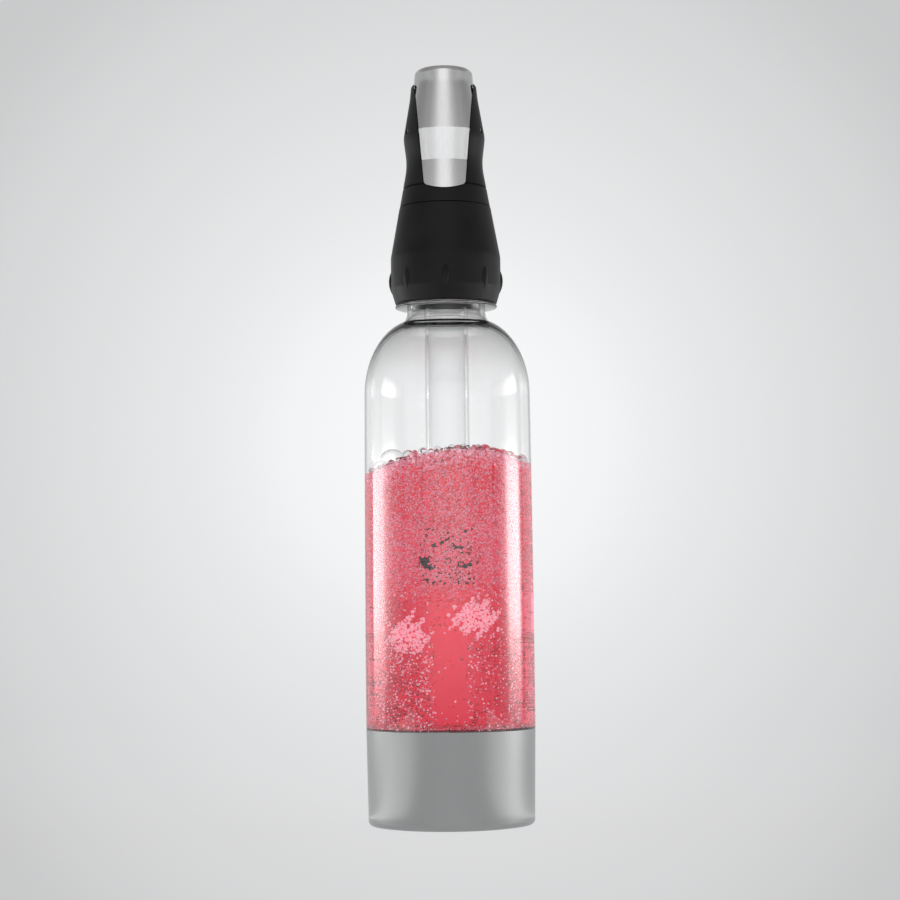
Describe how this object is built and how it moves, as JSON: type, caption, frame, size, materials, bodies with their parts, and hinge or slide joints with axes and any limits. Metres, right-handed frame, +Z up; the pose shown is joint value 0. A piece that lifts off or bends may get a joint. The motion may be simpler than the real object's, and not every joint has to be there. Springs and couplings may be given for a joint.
{
  "type": "soda siphon",
  "caption": "Carbonating bottle with a base cup, screw-on head, press lever and a hanging wand that holds a gas charger.",
  "frame": {"origin": "middle of the foot pad's resting face", "axes": "+Z up along the bottle's axis, lever at the front towards -Y"},
  "size_m": [0.0842, 0.0842, 0.3794],
  "materials": {
    "clear_bottle": "clear moulded bottle, gloss",
    "clear_tube": "clear tube, gloss",
    "satin_grey": "silver-grey, satin",
    "satin_silver": "satin silver",
    "black_plastic": "black, fine texture",
    "white_plastic": "natural nylon",
    "soft_rubber": "soft, matt",
    "steel": "stainless",
    "charger_steel": "zinc-plated steel",
    "brass": "turned"
  },
  "bodies": {
    "bottle": {"bottle": "clear_bottle", "base_cup": "satin_grey", "foot_pad": "soft_rubber"},
    "head": {"head_plug": "black_plastic", "head_shell": "black_plastic", "head_screws": "steel", "lever_pin": "steel", "neck_gasket": "soft_rubber", "plug_oring": "soft_rubber", "slip_ring": "white_plastic", "valve_seat": "brass", "valve_spring": "steel", "charger_seal": "soft_rubber", "pin_holder": "brass", "piercing_pin": "steel", "pin_retainer": "brass"},
    "collar": {"collar": "black_plastic"},
    "lever": {"lever": "satin_silver", "lever_bushes": "white_plastic", "tappet": "black_plastic"},
    "stem": {"valve_stem": "brass", "stem_seal": "soft_rubber", "stem_cap": "white_plastic"},
    "charger": {"charger": "charger_steel"},
    "wand": {"wand_tube": "clear_tube", "wand_gasket": "soft_rubber", "wand_nozzle": "black_plastic", "check_valve": "soft_rubber"}
  },
  "joints": [
    {"name": "head_lift", "type": "slide", "parent": "bottle", "child": "head", "axis": [0, 0, 1], "range_m": [0, 0.19]},
    {"name": "collar_twist", "type": "hinge", "parent": "head", "child": "collar", "pos_m": [0, 0, 0.28], "axis": [0, 0, 1], "range_deg": [0, 540]},
    {"name": "lever_press", "type": "hinge", "parent": "head", "child": "lever", "pos_m": [0, -0.007, 0.347], "axis": [-1, 0, 0], "range_deg": [0, 8], "stiffness_Nm_per_rad": 0.6, "springref_deg": -5.73},
    {"name": "stem_slide", "type": "slide", "parent": "head", "child": "stem", "axis": [0, 0, -1], "range_m": [0, 0.00226], "deforming": ["valve_spring"]},
    {"name": "wand_twist", "type": "hinge", "parent": "charger", "child": "wand", "pos_m": [0, 0, 0.3], "axis": [0, 0, -1], "range_deg": [0, 721]},
    {"name": "charger_feed", "type": "slide", "parent": "head", "child": "charger", "axis": [0, 0, -1], "range_m": [0, 0.008]}
  ],
  "couplings": [
    {"joint": "lever_press", "follows": "stem_slide", "rad_per_m": 61.728},
    {"joint": "wand_twist", "follows": "charger_feed", "rad_per_m": 1570.8}
  ]
}
